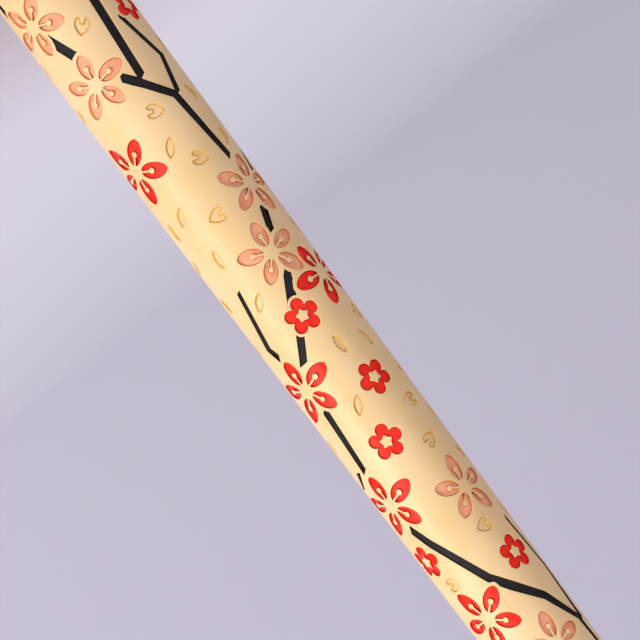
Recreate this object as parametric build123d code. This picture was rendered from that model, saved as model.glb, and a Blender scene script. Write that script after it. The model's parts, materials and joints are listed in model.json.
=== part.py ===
from build123d import *
import math
import os

# An oil paper umbrella, standing open on its butt: the shaft runs along +Z.
# Origin: the middle of the butt's bottom face. All sizes in millimetres.

# ---------------------------------------------------------------- overall sizes
RIB_COUNT = 24
HUB_HEIGHT = 748.0           # height of the ring that the ribs turn on
RIB_LENGTH = 445.0           # from the ring at the hub to the rib's tip
ARM = 180.0                  # hub ring to the rib's pin, and the stretcher's length
OPEN_ANGLE = 63.0            # between a rib and the shaft, opened
CLOSED_ANGLE = 4.2           # the same, folded

# ------------------------------------------------------------------- clearances
RUNNING_GAP = 0.1            # the runner's bore round the shaft
PIN_GAP = 0.05               # a hinge hole round its pin
RING_GAP = 0.1               # a rib's hole round the bent ring wire
SLOT_GAP = 0.2               # each side of a rib or stretcher in its slot
LATCH_GAP = 0.2              # round the latch in the shaft
REST_GAP = 0.3               # between pieces that move past each other

# ------------------------------------------------------------- shaft and handle
SHAFT_R = 9.5
SHAFT_ABOVE_HUB = 18.0
HANDLE_WALL = 3.74           # at the butt
HANDLE_TOP_WALL = 1.132      # under the collar, so that it tapers 0.81 mm of radius in 100 mm
HANDLE_EDGE = 0.6
HANDLE_GAP = 5.0             # between the collar and the folded runner
FERRULE_STEP = 0.54          # ferrule inside the handle's butt
FERRULE_LENGTH = 16.0
FERRULE_EDGE = 1.0
SPIGOT_LENGTH = 14.0
COLLAR_LENGTH = 6.0
COLLAR_WALL = 2.5
COLLAR_EDGE = 1.5

# --------------------------------------------------- hubs that carry the ribs
RING_R = 20.5                # the circle of pivots, at the hub and at the runner
RING_WIRE_R = 0.6
ROOT_GAP = 1.1               # between a rib's round end and the root of the teeth
TOOTH_OUTSIDE = 3.5          # teeth beyond the pivots
TOOTH_DEPTH = 7.0            # below the pivots
TOOTH_COVER = 1.6            # hub above the pivots
HUB_SHOULDER = 11.9          # the neck widens to the teeth's root down here
NECK_WALL = 5.0
NECK_LENGTH = 26.0
RUNNER_WALL = 1.4            # outside the keyway
RUNNER_TOOTH_HALF = 6.0
RUNNER_SHOULDER = 9.0        # below the pivots, where the sleeve widens
RUNNER_FILLET = 12.0
RUNNER_SLEEVE_BELOW = 40.0
RUNNER_SLEEVE_ABOVE = 9.0
RUNNER_FLANGE = 1.8
RUNNER_FLANGE_HEIGHT = 5.0
RUNNER_EDGE = 1.0

# --------------------------------------------------------- ribs and stretchers
BAR_HALF_DEPTH = 2.0         # of a rib, also its round end's radius
END_WIDTH = 2.7              # in the teeth
END_STRAIGHT = 16.0          # of a rib, at the hub
RIB_WIDTH = 5.2
RIB_FULL_AT = 60.0
RIB_TIP_WIDTH = 3.8
RIB_TIP_UNDER = 0.4
RIB_SLOT_BEFORE = 8.0
RIB_SLOT_SPARE = 6.6         # slot past where the folded stretcher leaves it
RIB_SLOT_CHEEK = 1.1
PIN_R = 0.9
TONGUE_SPARE = 12.0          # thin tongue past the rib's slot
STRETCHER_WIDTH = 3.6
STRETCHER_HALF_DEPTH = 1.6   # thinner than a rib, so that the folded paper clears its round end
STRETCHER_END_STRAIGHT = 30.0
SHOULDER = 14.0

# ------------------------------------------------------------ paper and crown
PAPER_THICKNESS = 0.35
PAPER_LIFT = 0.45            # above a rib's top, so that its corners stay clear
PAPER_OVERHANG = 5.0
PAPER_HOLE_GAP = 1.5         # round the shaft
CROWN_GAP = 0.25
CROWN_R = 30.0
CROWN_RIM = 1.6
CROWN_WALL = 3.5             # at its top, round the shaft
CROWN_NECK = 7.0             # the upright part under the finial
CROWN_BEAD = 3.0             # a small round step at its foot
CROWN_EDGE = 1.0
CROWN_FLARE = 0.5            # its rim leans outward
FINIAL_OVER = 1.0            # the foot beyond the shaft
FINIAL_FOOT = 3.0
FINIAL_NECK_R = 6.0
FINIAL_KNOB_R = 9.5
FINIAL_COVE = 2.0            # from the foot up to the neck
FINIAL_KNOB_AT = 9.0         # widest, above the foot plate's top
FINIAL_POINT_R = 7.0         # where the round head turns to a point
FINIAL_POINT_AT = 16.0
FINIAL_HEIGHT = 30.0

# ------------------------------------------------------------------------ latch
LATCH_WIDTH = 3.0
LATCH_REACH = 2.9            # how far the tooth stands out of the shaft
LATCH_LIP = 1.5              # upright part of the tooth's tip
LATCH_SPARE = 0.3            # travel after the tooth is flush
LATCH_TOOTH_LENGTH = 18.0
LATCH_BODY_LENGTH = 28.0
LATCH_SHOULDER = 2.1         # tall body's depth under the shaft's surface
LATCH_BACK = -3.0
KEYWAY_GAP = 0.4             # round the latch's tooth

# ------------------------------------------------------------- worked-out places
lean = math.radians(OPEN_ANGLE)
fold = math.radians(CLOSED_ANGLE)
pin_r = RING_R + ARM * math.sin(lean)
pin_z = HUB_HEIGHT - ARM * math.cos(lean)
runner_z = HUB_HEIGHT - 2 * ARM * math.cos(lean)
travel = 2 * ARM * (math.cos(fold) - math.cos(lean))
runner_bottom_z = runner_z - RUNNER_SLEEVE_BELOW
handle_top_z = runner_bottom_z - travel - HANDLE_GAP - COLLAR_LENGTH
handle_butt_r = SHAFT_R + HANDLE_WALL
ferrule_r = handle_butt_r - FERRULE_STEP
collar_r = SHAFT_R + COLLAR_WALL
shaft_bottom_z = FERRULE_LENGTH + SPIGOT_LENGTH
shaft_top_z = HUB_HEIGHT + SHAFT_ABOVE_HUB
latch_top_z = runner_bottom_z - REST_GAP
latch_shoulder_r = SHAFT_R - LATCH_SHOULDER
latch_tip_r = SHAFT_R + LATCH_REACH
latch_travel = LATCH_REACH + LATCH_SPARE
keyway_floor = latch_tip_r + KEYWAY_GAP
sleeve_r = keyway_floor + RUNNER_WALL
tooth_root_r = RING_R - BAR_HALF_DEPTH - ROOT_GAP
tooth_tip_r = RING_R + TOOTH_OUTSIDE
paper_hole_r = SHAFT_R + PAPER_HOLE_GAP
crown_top_r = SHAFT_R + CROWN_WALL
slot_after = 2 * BAR_HALF_DEPTH / math.sin(2 * fold) + RIB_SLOT_SPARE


def turned(points):
    """A solid of revolution about the shaft from (radius, height) corners."""
    outline = Polyline(*points, close=True)
    return revolve(Plane.XZ * make_face(outline), axis=Axis.Z)


def slope_z(radius, lift):
    """Height at a radius of the cone that is lift above the open ribs' middle, straight up."""
    return HUB_HEIGHT + lift - (radius - RING_R) / math.tan(lean)


def around(solid, number):
    """The copy of a solid in the XZ plane that belongs to rib number 0, 1, 2 and so on."""
    return Rot(0, 0, number * 360.0 / RIB_COUNT) * solid


def shaft():
    rod = Pos(0, 0, shaft_bottom_z) * Cylinder(
        SHAFT_R,
        shaft_top_z - shaft_bottom_z,
        align=(Align.CENTER, Align.CENTER, Align.MIN),
    )
    return rod - latch_slot()


def latch_slot():
    """The room for the latch: a mouth for its tooth and a taller space behind for its body."""
    width = LATCH_WIDTH + 2 * LATCH_GAP
    back = LATCH_BACK - latch_travel - LATCH_GAP
    shoulder = latch_shoulder_r + LATCH_GAP
    tooth_middle = latch_top_z - LATCH_TOOTH_LENGTH / 2
    mouth = Pos(0, -(SHAFT_R + shoulder) / 2, tooth_middle) * Box(
        width, SHAFT_R - shoulder + 2, LATCH_TOOTH_LENGTH + 2 * LATCH_GAP
    )
    room = Pos(0, -(back + shoulder) / 2, tooth_middle) * Box(
        width, shoulder - back, LATCH_BODY_LENGTH + 2 * LATCH_GAP
    )
    return mouth + room


def latch():
    """A leaf with a wedge tooth that stands out of the shaft at -Y, square on top."""
    low = latch_top_z - LATCH_TOOTH_LENGTH
    middle = latch_top_z - LATCH_TOOTH_LENGTH / 2
    body_low = middle - LATCH_BODY_LENGTH / 2
    body_high = middle + LATCH_BODY_LENGTH / 2
    outline = Polyline(
        (-LATCH_BACK, body_low),
        (-LATCH_BACK, body_high),
        (-latch_shoulder_r, body_high),
        (-latch_shoulder_r, latch_top_z),
        (-latch_tip_r, latch_top_z),
        (-latch_tip_r, latch_top_z - LATCH_LIP),
        (-SHAFT_R, low),
        (-latch_shoulder_r, low),
        (-latch_shoulder_r, body_low),
        close=True,
    )
    return extrude(Plane.YZ * make_face(outline), LATCH_WIDTH / 2, both=True)


def ferrule():
    disc = turned(
        [
            (0, 0),
            (ferrule_r - FERRULE_EDGE, 0),
            (ferrule_r, FERRULE_EDGE),
            (ferrule_r, FERRULE_LENGTH),
            (SHAFT_R, FERRULE_LENGTH),
            (SHAFT_R, shaft_bottom_z),
            (0, shaft_bottom_z),
        ]
    )
    return disc


def handle():
    """A long sleeve, turned to a slow straight taper and glued on the shaft."""
    top_r = SHAFT_R + HANDLE_TOP_WALL
    return turned(
        [
            (SHAFT_R, FERRULE_LENGTH),
            (handle_butt_r - HANDLE_EDGE, FERRULE_LENGTH),
            (handle_butt_r, FERRULE_LENGTH + HANDLE_EDGE),
            (top_r, handle_top_z - HANDLE_EDGE),
            (top_r - HANDLE_EDGE, handle_top_z),
            (SHAFT_R, handle_top_z),
        ]
    )


def handle_collar():
    return turned(
        [
            (SHAFT_R, handle_top_z),
            (collar_r - COLLAR_EDGE, handle_top_z),
            (collar_r, handle_top_z + COLLAR_EDGE),
            (collar_r, handle_top_z + COLLAR_LENGTH - COLLAR_EDGE),
            (collar_r - COLLAR_EDGE, handle_top_z + COLLAR_LENGTH),
            (SHAFT_R, handle_top_z + COLLAR_LENGTH),
        ]
    )


def tooth_gaps(low, high):
    """One slot for each rib or stretcher, cut in from outside down to the root of the teeth."""
    depth = tooth_tip_r - tooth_root_r + 4
    gap = Pos(tooth_root_r + depth / 2, 0, (low + high) / 2) * Box(
        depth, END_WIDTH + 2 * SLOT_GAP, high - low
    )
    return [around(gap, number) for number in range(RIB_COUNT)]


def ring_wire():
    return Pos(0, 0, HUB_HEIGHT) * Torus(RING_R, RING_WIRE_R)


def head_hub():
    """The fixed hub: a turned block with a slot for each rib and a hole round for the ring wire."""
    block = turned(
        [
            (SHAFT_R, HUB_HEIGHT - NECK_LENGTH),
            (SHAFT_R + NECK_WALL, HUB_HEIGHT - NECK_LENGTH),
            (tooth_root_r, HUB_HEIGHT - HUB_SHOULDER),
            (tooth_tip_r, HUB_HEIGHT - TOOTH_DEPTH),
            (tooth_tip_r, slope_z(tooth_tip_r, TOOTH_COVER)),
            (SHAFT_R, slope_z(SHAFT_R, TOOTH_COVER)),
        ]
    )
    block -= tooth_gaps(HUB_HEIGHT - NECK_LENGTH, HUB_HEIGHT + NECK_LENGTH)
    return block - ring_wire()


def runner():
    """The sliding hub: a sleeve with a toothed ring, and a keyway inside that passes the latch."""
    bore = SHAFT_R + RUNNING_GAP
    top = runner_z + RUNNER_SLEEVE_ABOVE
    flange_r = sleeve_r + RUNNER_FLANGE
    flange_top = runner_bottom_z + RUNNER_FLANGE_HEIGHT
    block = turned(
        [
            (bore, runner_bottom_z),
            (flange_r - RUNNER_EDGE, runner_bottom_z),
            (flange_r, runner_bottom_z + RUNNER_EDGE),
            (flange_r, flange_top - RUNNER_EDGE),
            (sleeve_r, flange_top + RUNNER_EDGE),
            (sleeve_r, runner_z - RUNNER_FILLET),
            (tooth_root_r, runner_z - RUNNER_SHOULDER),
            (tooth_tip_r, runner_z - RUNNER_TOOTH_HALF),
            (tooth_tip_r, runner_z + RUNNER_TOOTH_HALF - RUNNER_EDGE),
            (tooth_tip_r - RUNNER_EDGE, runner_z + RUNNER_TOOTH_HALF),
            (tooth_root_r, runner_z + RUNNER_TOOTH_HALF),
            (sleeve_r, top),
            (bore, top),
        ]
    )
    block -= tooth_gaps(runner_z - 2 * RUNNER_TOOTH_HALF, runner_z + 2 * RUNNER_TOOTH_HALF)
    height = top - runner_bottom_z
    keyway = Pos(0, -keyway_floor / 2, runner_bottom_z + height / 2) * Box(
        LATCH_WIDTH + 2 * KEYWAY_GAP, keyway_floor, height + 2
    )
    return block - keyway


def bar(length, deep, end_drop, half_widths):
    """A straight bar along +X with a round end at the origin, cut from a side and a plan outline.

    deep is half its depth and the round end's radius. end_drop is the depth below the middle at
    the far end; None gives a second round end.
    half_widths lists (x, half width) along the bar.
    """
    head = ThreePointArc((0, deep), (-deep, 0), (0, -deep))
    top = Line((length, deep), (0, deep))
    if end_drop is None:
        tail = ThreePointArc((length, -deep), (length + deep, 0), (length, deep))
        under = Line((0, -deep), (length, -deep))
        side = make_face([head, under, tail, top])
    else:
        full = ARM + slot_after
        under = Polyline((0, -deep), (full, -deep), (length, -end_drop), (length, deep))
        side = make_face([head, under, top])
    plan_points = half_widths + [(x, -half) for x, half in reversed(half_widths)]
    plan = make_face(Polyline(*plan_points, close=True))
    slab = extrude(Plane.XZ * side, RIB_WIDTH, both=True)
    return slab & extrude(plan, 3 * deep, both=True)


def cross_hole(x, radius):
    return Pos(x, 0, 0) * Rot(90, 0, 0) * Cylinder(radius, 2 * RIB_WIDTH)


def rib():
    """A split bamboo rib along +X, with its pin: thinned at the hub, slotted for the stretcher."""
    half_widths = [
        (-2 * BAR_HALF_DEPTH, END_WIDTH / 2),
        (END_STRAIGHT, END_WIDTH / 2),
        (RIB_FULL_AT, RIB_WIDTH / 2),
        (ARM + slot_after, RIB_WIDTH / 2),
        (RIB_LENGTH + 1, RIB_TIP_WIDTH / 2),
    ]
    slot_length = RIB_SLOT_BEFORE + slot_after
    slot = Pos(ARM - RIB_SLOT_BEFORE + slot_length / 2, 0, 0) * Box(
        slot_length, RIB_WIDTH - 2 * RIB_SLOT_CHEEK, 3 * BAR_HALF_DEPTH
    )
    wood = bar(RIB_LENGTH, BAR_HALF_DEPTH, RIB_TIP_UNDER, half_widths)
    wood = wood - slot - cross_hole(0, RING_WIRE_R + RING_GAP) - cross_hole(ARM, PIN_R)
    pin = Pos(ARM, 0, 0) * Rot(90, 0, 0) * Cylinder(PIN_R, RIB_WIDTH)
    return wood, pin


def stretcher():
    """The short bar from the rib's pin, at the origin, to the runner, along +X."""
    tongue = RIB_WIDTH - 2 * RIB_SLOT_CHEEK - 2 * REST_GAP
    half_widths = [
        (-2 * BAR_HALF_DEPTH, tongue / 2),
        (slot_after + TONGUE_SPARE, tongue / 2),
        (slot_after + TONGUE_SPARE + SHOULDER, STRETCHER_WIDTH / 2),
        (ARM - STRETCHER_END_STRAIGHT - SHOULDER, STRETCHER_WIDTH / 2),
        (ARM - STRETCHER_END_STRAIGHT, END_WIDTH / 2),
        (ARM + 2 * BAR_HALF_DEPTH, END_WIDTH / 2),
    ]
    wood = bar(ARM, STRETCHER_HALF_DEPTH, None, half_widths)
    return wood - cross_hole(0, PIN_R + PIN_GAP) - cross_hole(ARM, RING_WIRE_R + RING_GAP)


def canopy_paper():
    """Flat paper gores that meet in a ridge over each rib, in one stretched skin."""
    rise = (BAR_HALF_DEPTH + PAPER_LIFT) / math.sin(lean)
    thick = PAPER_THICKNESS / math.sin(lean)
    rim_r = RING_R + (RIB_LENGTH + PAPER_OVERHANG) * math.sin(lean)
    rim_z = slope_z(rim_r, rise)
    top_z = slope_z(paper_hole_r, rise)

    def pyramid(lift, low, high):
        rings = []
        for height in (low, high):
            radius = RING_R + (HUB_HEIGHT + lift - height) * math.tan(lean)
            rings.append(Pos(0, 0, height) * RegularPolygon(radius, RIB_COUNT))
        return loft(rings, ruled=True)

    outer = pyramid(rise + thick, rim_z, top_z)
    return outer - pyramid(rise, rim_z - 1, top_z + 1)


def crown():
    """The lacquered cone that covers the paper's middle, and a step that the finial stands on."""
    rise = (BAR_HALF_DEPTH + PAPER_LIFT + PAPER_THICKNESS) / math.sin(lean) + CROWN_GAP
    low = slope_z(CROWN_R, rise)
    top = HUB_HEIGHT + SHAFT_ABOVE_HUB
    return turned(
        [
            (SHAFT_R, slope_z(SHAFT_R, rise)),
            (CROWN_R, low),
            (CROWN_R + CROWN_FLARE, low + CROWN_RIM),
            (crown_top_r + 2 * CROWN_EDGE, top - CROWN_NECK + CROWN_EDGE),
            (crown_top_r, top - CROWN_NECK + CROWN_BEAD),
            (crown_top_r - CROWN_EDGE, top),
            (SHAFT_R, top),
        ]
    )


def finial():
    """A turned knob on the shaft's end: foot, neck, and a round head drawn up to a point."""
    base = shaft_top_z
    foot_r = SHAFT_R + FINIAL_OVER
    foot_top = base + FINIAL_FOOT
    outline = [
        Polyline(
            (0, base),
            (foot_r, base),
            (foot_r, foot_top),
            (FINIAL_NECK_R, foot_top + FINIAL_COVE),
        ),
        ThreePointArc(
            (FINIAL_NECK_R, foot_top + FINIAL_COVE),
            (FINIAL_KNOB_R, foot_top + FINIAL_KNOB_AT),
            (FINIAL_POINT_R, foot_top + FINIAL_POINT_AT),
        ),
        Polyline((FINIAL_POINT_R, foot_top + FINIAL_POINT_AT), (0, base + FINIAL_HEIGHT), (0, base)),
    ]
    return revolve(Plane.XZ * make_face(outline), axis=Axis.Z)


def main():
    nodes = {
        "shaft": [shaft()],
        "handle": [handle()],
        "butt_ferrule": [ferrule()],
        "handle_collar": [handle_collar()],
        "head_hub": [head_hub()],
        "head_ring_wire": [ring_wire()],
        "canopy_paper": [canopy_paper()],
        "crown": [crown()],
        "finial": [finial()],
        "runner": [runner()],
        "latch": [latch()],
    }
    at_hub = Pos(RING_R, 0, HUB_HEIGHT) * Rot(0, 90 - OPEN_ANGLE, 0)
    at_pin = Pos(pin_r, 0, pin_z) * Rot(0, 90 + OPEN_ANGLE, 0)
    rib_solids = [at_hub * solid for solid in rib()]
    stretcher_solid = at_pin * stretcher()
    for number in range(RIB_COUNT):
        label = f"{number + 1:02d}"
        nodes["rib_" + label] = [around(solid, number) for solid in rib_solids]
        nodes["stretcher_" + label] = [around(stretcher_solid, number)]

    os.makedirs("parts", exist_ok=True)
    for name, solids in nodes.items():
        pieces = [solid for part in solids for solid in part.solids()]
        whole = pieces[0] if len(pieces) == 1 else Compound(children=pieces)
        export_step(whole, f"parts/{name}.step")

    print(f"runner pivots z {runner_z:.3f}, travel {travel:.3f}")
    print(f"pin at r {pin_r:.3f} z {pin_z:.3f}")


main()
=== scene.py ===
import bpy
import json
import math
import numpy as np
from mathutils import Matrix, Vector
from mathutils.geometry import delaunay_2d_cdt


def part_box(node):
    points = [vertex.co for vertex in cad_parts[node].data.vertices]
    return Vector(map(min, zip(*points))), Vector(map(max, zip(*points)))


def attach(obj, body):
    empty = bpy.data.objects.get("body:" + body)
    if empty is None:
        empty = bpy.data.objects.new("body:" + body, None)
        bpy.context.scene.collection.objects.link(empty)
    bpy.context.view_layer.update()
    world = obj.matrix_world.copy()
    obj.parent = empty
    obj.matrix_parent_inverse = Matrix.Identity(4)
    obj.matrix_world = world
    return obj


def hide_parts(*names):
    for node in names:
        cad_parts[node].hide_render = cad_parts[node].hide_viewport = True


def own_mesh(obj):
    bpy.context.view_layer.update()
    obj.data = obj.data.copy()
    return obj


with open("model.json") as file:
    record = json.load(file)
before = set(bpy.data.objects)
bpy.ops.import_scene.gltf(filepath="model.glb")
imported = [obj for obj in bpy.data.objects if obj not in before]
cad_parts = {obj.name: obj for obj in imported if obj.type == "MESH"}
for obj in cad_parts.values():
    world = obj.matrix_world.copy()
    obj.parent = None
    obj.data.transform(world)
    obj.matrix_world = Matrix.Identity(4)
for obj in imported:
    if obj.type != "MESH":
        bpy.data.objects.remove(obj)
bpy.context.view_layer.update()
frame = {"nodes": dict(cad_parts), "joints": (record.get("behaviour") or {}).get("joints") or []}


# ---------------------------------------------------------------- studio
# A pale paper-white bowl stands in for the room: a flat floor that curves up into a far wall. It is
# lit by a plain sky, a soft key lamp low on the +X side, a fill, a top lamp and one on the wall.

MM = 0.001
STAGE_HEX = "#DEDBE9"
FLOOR_R = 4000
BOWL_R = 2000                # the floor's curve up into the wall
WALL_HEIGHT = 5000
VIEW_CENTRE = (-3.5 * MM, 0.0, 166.9 * MM)
VIEW_DISTANCE = 0.62
VIEW_WIDTH = 144.6 * MM      # what the frame takes in, at the shaft
VIEW_TURN = math.radians(36.8)


def linear(hex_colour):
    """A colour written in sRGB hex, as linear red, green, blue and an alpha of 1."""
    srgb = [int(hex_colour[i : i + 2], 16) / 255 for i in (1, 3, 5)]
    return [c / 12.92 if c <= 0.04045 else ((c + 0.055) / 1.055) ** 2.4 for c in srgb] + [1.0]


def new_material(name, finish):
    """A material whose shader has these input values: itself, its tree, shader and object coordinates."""
    material = bpy.data.materials.new(name)
    material.use_nodes = True
    tree = material.node_tree
    shader = tree.nodes["Principled BSDF"]
    for key, value in finish.items():
        shader.inputs[key].default_value = value
    return material, tree, shader, tree.nodes.new("ShaderNodeTexCoord").outputs["Object"]


def add_node(tree, kind, settings=None, links=None):
    """Adds a node, sets its properties, inputs and colour stops, and links other sockets into it."""
    node = tree.nodes.new(kind)
    for key, value in (settings or {}).items():
        if key == "stops":
            elements = node.color_ramp.elements
            while len(elements) < len(value):
                elements.new(0.5)
            for element, (place, colour) in zip(elements, value):
                element.position = place
                element.color = linear(colour)
        elif isinstance(key, int) or key in node.inputs:
            node.inputs[key].default_value = value
        else:
            setattr(node, key, value)
    for key, source in (links or {}).items():
        tree.links.new(source, node.inputs[key])
    return node


def make_mesh(name, verts, faces, materials, face_materials=None):
    """A mesh object at the origin from points in millimetres and faces of three or four corners."""
    mesh = bpy.data.meshes.new(name)
    faces = faces if isinstance(faces, list) else faces.tolist()
    mesh.from_pydata((np.asarray(verts, float) * MM).tolist(), [], faces)
    for material in materials:
        mesh.materials.append(material)
    if face_materials is not None:
        mesh.polygons.foreach_set("material_index", np.asarray(face_materials, np.int32))
    mesh.polygons.foreach_set("use_smooth", np.ones(len(mesh.polygons), bool))
    mesh.update()
    piece = bpy.data.objects.new(name, mesh)
    bpy.context.scene.collection.objects.link(piece)
    return piece


def spun(profile, steps=96):
    """Points and faces of a profile of (radius, height) turned about Z, as a closed grid in angle.

    A point is (r cos a, r sin a, h) for each profile point and each of the equal steps in angle.
    """
    profile = np.asarray(profile, float)
    angle = np.arange(steps) * 2 * math.pi / steps
    x = profile[:, 0, None] * np.cos(angle)
    y = profile[:, 0, None] * np.sin(angle)
    z = np.broadcast_to(profile[:, 1, None], x.shape)
    verts = np.stack([x, y, z], -1).reshape(-1, 3)
    row, column = np.meshgrid(np.arange(len(profile) - 1), np.arange(steps), indexing="ij")
    across = (column + 1) % steps
    corners = [row * steps + column, row * steps + across]
    corners += [(row + 1) * steps + across, (row + 1) * steps + column]
    return verts, np.stack(corners, -1).reshape(-1, 4)


def stage_bowl():
    """A profile turned about Z: a floor, a quarter circle up and a wall, with a lid at the pole."""
    bend = np.linspace(0, math.pi / 2, 24)
    curve = np.stack([FLOOR_R + BOWL_R * np.sin(bend), BOWL_R - BOWL_R * np.cos(bend)], -1)
    profile = np.vstack([[1, 0], [1500, 0], curve, [FLOOR_R + BOWL_R, WALL_HEIGHT]])
    verts, faces = spun(profile, 128)
    faces = faces.tolist() + [list(range(127, -1, -1))]
    finish = {"Base Color": linear(STAGE_HEX), "Roughness": 0.9}
    bowl = make_mesh("stage_floor", verts, faces, [new_material("stage_matt_paper", finish)[0]])


def soft_lamp(name, place, target, size, watts, colour):
    """A round soft lamp of that width at a place, facing the target."""
    data = bpy.data.lights.new(name, "AREA")
    data.shape = "DISK"
    data.size = size
    data.energy = watts
    data.color = linear(colour)[:3]
    lamp = bpy.data.objects.new(name, data)
    lamp.location = place
    lamp.rotation_euler = (Vector(target) - Vector(place)).to_track_quat("-Z", "Y").to_euler()
    bpy.context.scene.collection.objects.link(lamp)


stage_bowl()
soft_lamp("key", (0.85, -0.75, 0.30), (0, 0, 0.18), size=0.55, watts=8, colour="#FFF4E4")
soft_lamp("front_fill", (-0.5, -2.0, 0.9), (0, 0, 0.45), size=1.6, watts=9, colour="#FFF8F0")
soft_lamp("backdrop", (3.6, 1.8, 2.0), (2.2, 4.8, 0.0), size=1.4, watts=85, colour="#FFFCFF")
soft_lamp("top", (0.6, -0.4, 2.6), (0, 0, 0.6), size=2.0, watts=38, colour="#FFFFFF")

world = bpy.data.worlds.new("plain_sky")
world.use_nodes = True
sky = world.node_tree.nodes["Background"].inputs
sky["Color"].default_value = linear("#F3EEE9")
sky["Strength"].default_value = 0.55
bpy.context.scene.world = world
bpy.context.scene.view_settings.view_transform = "Standard"

# The view is square on to the shaft, turned so that the butt is at the upper left.
along, across = math.cos(VIEW_TURN), math.sin(VIEW_TURN)
right = Vector((-along, 0, across))
up = Vector((-across, 0, -along))
camera_data = bpy.data.cameras.new("camera")
camera_data.lens = camera_data.sensor_width * VIEW_DISTANCE / VIEW_WIDTH
camera = bpy.data.objects.new("camera", camera_data)
place = Vector(VIEW_CENTRE) + Vector((0, -VIEW_DISTANCE, 0))
axes = Matrix((right, up, right.cross(up))).transposed().to_4x4()
camera.matrix_world = Matrix.Translation(place) @ axes
bpy.context.scene.collection.objects.link(camera)
bpy.context.scene.camera = camera


# ---------------------------------------------------------------- handle
# A long sleeve turned from pale wood and lacquered cream. Blossoms, petals and branches are cut
# into it by hand, about half a millimetre deep, and most are filled with red, pink or black paint.

HANDLE_LOW, HANDLE_HIGH = [corner / MM for corner in (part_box("handle")[0][2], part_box("handle")[1][2])]
HANDLE_BUTT_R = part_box("handle")[1][0] / MM
HANDLE_TAPER = 0.0081        # radius lost for each millimetre of height
HANDLE_EDGE = 0.6
BORE_R = 9.5                 # the shaft's own radius
FLAT_R = 12.2                # the radius at which an angle becomes a distance on the flat plan
CUT_DEPTH = 0.6
CUT_SLOPE = 0.24             # how far a cut's wall leans in by its floor
BARE_DEPTH = 0.48
BARE_SLOPE = 0.42            # the unpainted cuts are scooped with a flatter wall
CUT_LIP = 0.08               # the worn rounding at a cut's edge
HALO = 0.5                   # a branch stops this short of a flower
HALO_FOOT = 0.25
PETAL_FROM, PETAL_LENGTH = 1.55, 6.4
PETAL_FOOT = 0.16
PETAL_SWELL = 4.158
EYE_FROM, EYE_R = 4.25, 0.56
STALK_HALF = 0.14
LOBE_FROM, LOBE_R = 2.66, 1.64
STAR_R = 1.02
CHERRY_SIZE = {"pink": 1.0, "red": 1.08}
REACH = {"pink": 8.0, "red": 8.6, "plum": 4.4, "heart": 2.5, "leaf": 2.4}
MOTIF_GAP = 0.4              # left between two motifs
END_GAP = 4.0                # left plain at each end of the handle
GRID_ROWS = 150
GRID_COLUMNS = 72
GRID_CLEAR = 0.42            # a grid point this near an outline is left out
SEAM_SLACK = 2e-4
LACQUER, RED, PINK, BLACK, BARE = range(5)
# Wall materials are darker copies of their floor's colour: painted shade in the cuts.
WALLS = 4                    # a wall's material is its floor's number and this
KEEP_OFF = 9                 # plain surface that nothing is cut into; minus this is a halo
SKIN, FLOOR, WALL, END = range(4)

# Each flower: height in mm, angle round the handle in degrees from -Y toward -X, turn in degrees.
PINK_CHERRIES = [(76.6, -44, 70), (95.5, -25, 100), (133.1, 50, 15), (148.4, 19, 105),
                 (215.9, 39, 28), (256.1, 15, 100)]
RED_CHERRIES = [(116.0, -52, 65), (158.5, 60, -92), (177.8, -46, 108), (209.6, -49, 108),
                (242.6, -35, 58)]
PLUMS = [(84.4, 64, 0), (163.8, 5, 100), (184.2, 29, 60), (197.3, -4, 95), (224.7, -60, 20),
         (234.2, 41, 95)]
HEARTS = [(83.3, 1, -40), (108.0, 10, 65), (122.2, 19, 60), (134.8, -5, -90), (170.4, 72, 40),
          (193.0, 50, -100), (202.7, 40, 110), (209.3, 78, 30), (225.2, 28, -92), (232.0, -45, 92)]
LEAVES = [(116.5, -1, -32), (130.2, -39, -35), (142.7, -33, -4), (155.8, -25, -38), (173.8, 19, 5),
          (176.1, 53, 18), (187.1, -5, -30), (95.4, 80, 0), (108.7, 63, 20), (120.9, 64, -20),
          (146.2, 80, 10), (185.6, 79, -15), (198.7, 82, 30), (225.3, 80, 0), (85.0, -80, 10),
          (98.6, -77, -25), (131.8, -64, 0), (141.3, -76, -30), (151.9, -73, 15), (164.1, -82, 0),
          (191.7, -78, -10)]
# Each branch: points of height, angle and width, in order along it.
BRANCHES = [
    [(54, 34, 2.3), (80.3, 28, 2.3), (100.3, 20, 2.1)],
    [(97.3, 1, 2.2), (107.3, 39, 2.1), (125.7, 50, 1.8)],
    [(85.5, 41, 1.2), (98.1, 59, 1.7), (107.5, 44, 1.6)],
    [(81.0, -37, 2.4), (88.4, -22, 2.4)],
    [(66.0, -70, 1.9), (71.0, -68, 1.9)],
    [(138.3, 46, 2.2), (144.8, 33, 2.0)],
    [(152.2, 26, 0.8), (154.6, 18, 2.1), (160.4, 4, 2.6)],
    [(166.0, -7, 2.0), (172.8, -27, 2.1)],
    [(151.0, -38, 1.2), (165.4, -54, 1.9), (168.6, -48, 1.9)],
    [(183.4, -41, 2.1), (200.2, -49, 1.9)],
    [(199.4, -61, 1.5), (203.6, -79, 1.4)],
    [(216.4, -47, 2.1), (221.4, -36, 2.2), (235.1, -4, 2.2), (239.6, 12, 2.4), (246.0, 38, 2.2),
     (254.8, 64, 1.8), (272.0, 74, 1.9)],
    [(226.8, 64, 1.1), (241.2, 77, 1.9), (256.0, 70, 2.0)],
    [(125.0, 84, 1.5), (131.0, 71, 1.4)],
]
# The same spray is cut again further along and round the back: shift in mm, turn in degrees.
REPEATS = [(0, 0), (62, 180), (-120, 178), (212, 6), (-212, -8), (250, 172)]


def turned_flat(points, degrees, scale=1.0):
    """Flat points turned about the origin and scaled."""
    a = math.radians(degrees)
    turn = np.array([[math.cos(a), math.sin(a)], [-math.sin(a), math.cos(a)]])
    return np.asarray(points, float) @ turn * scale


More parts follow.
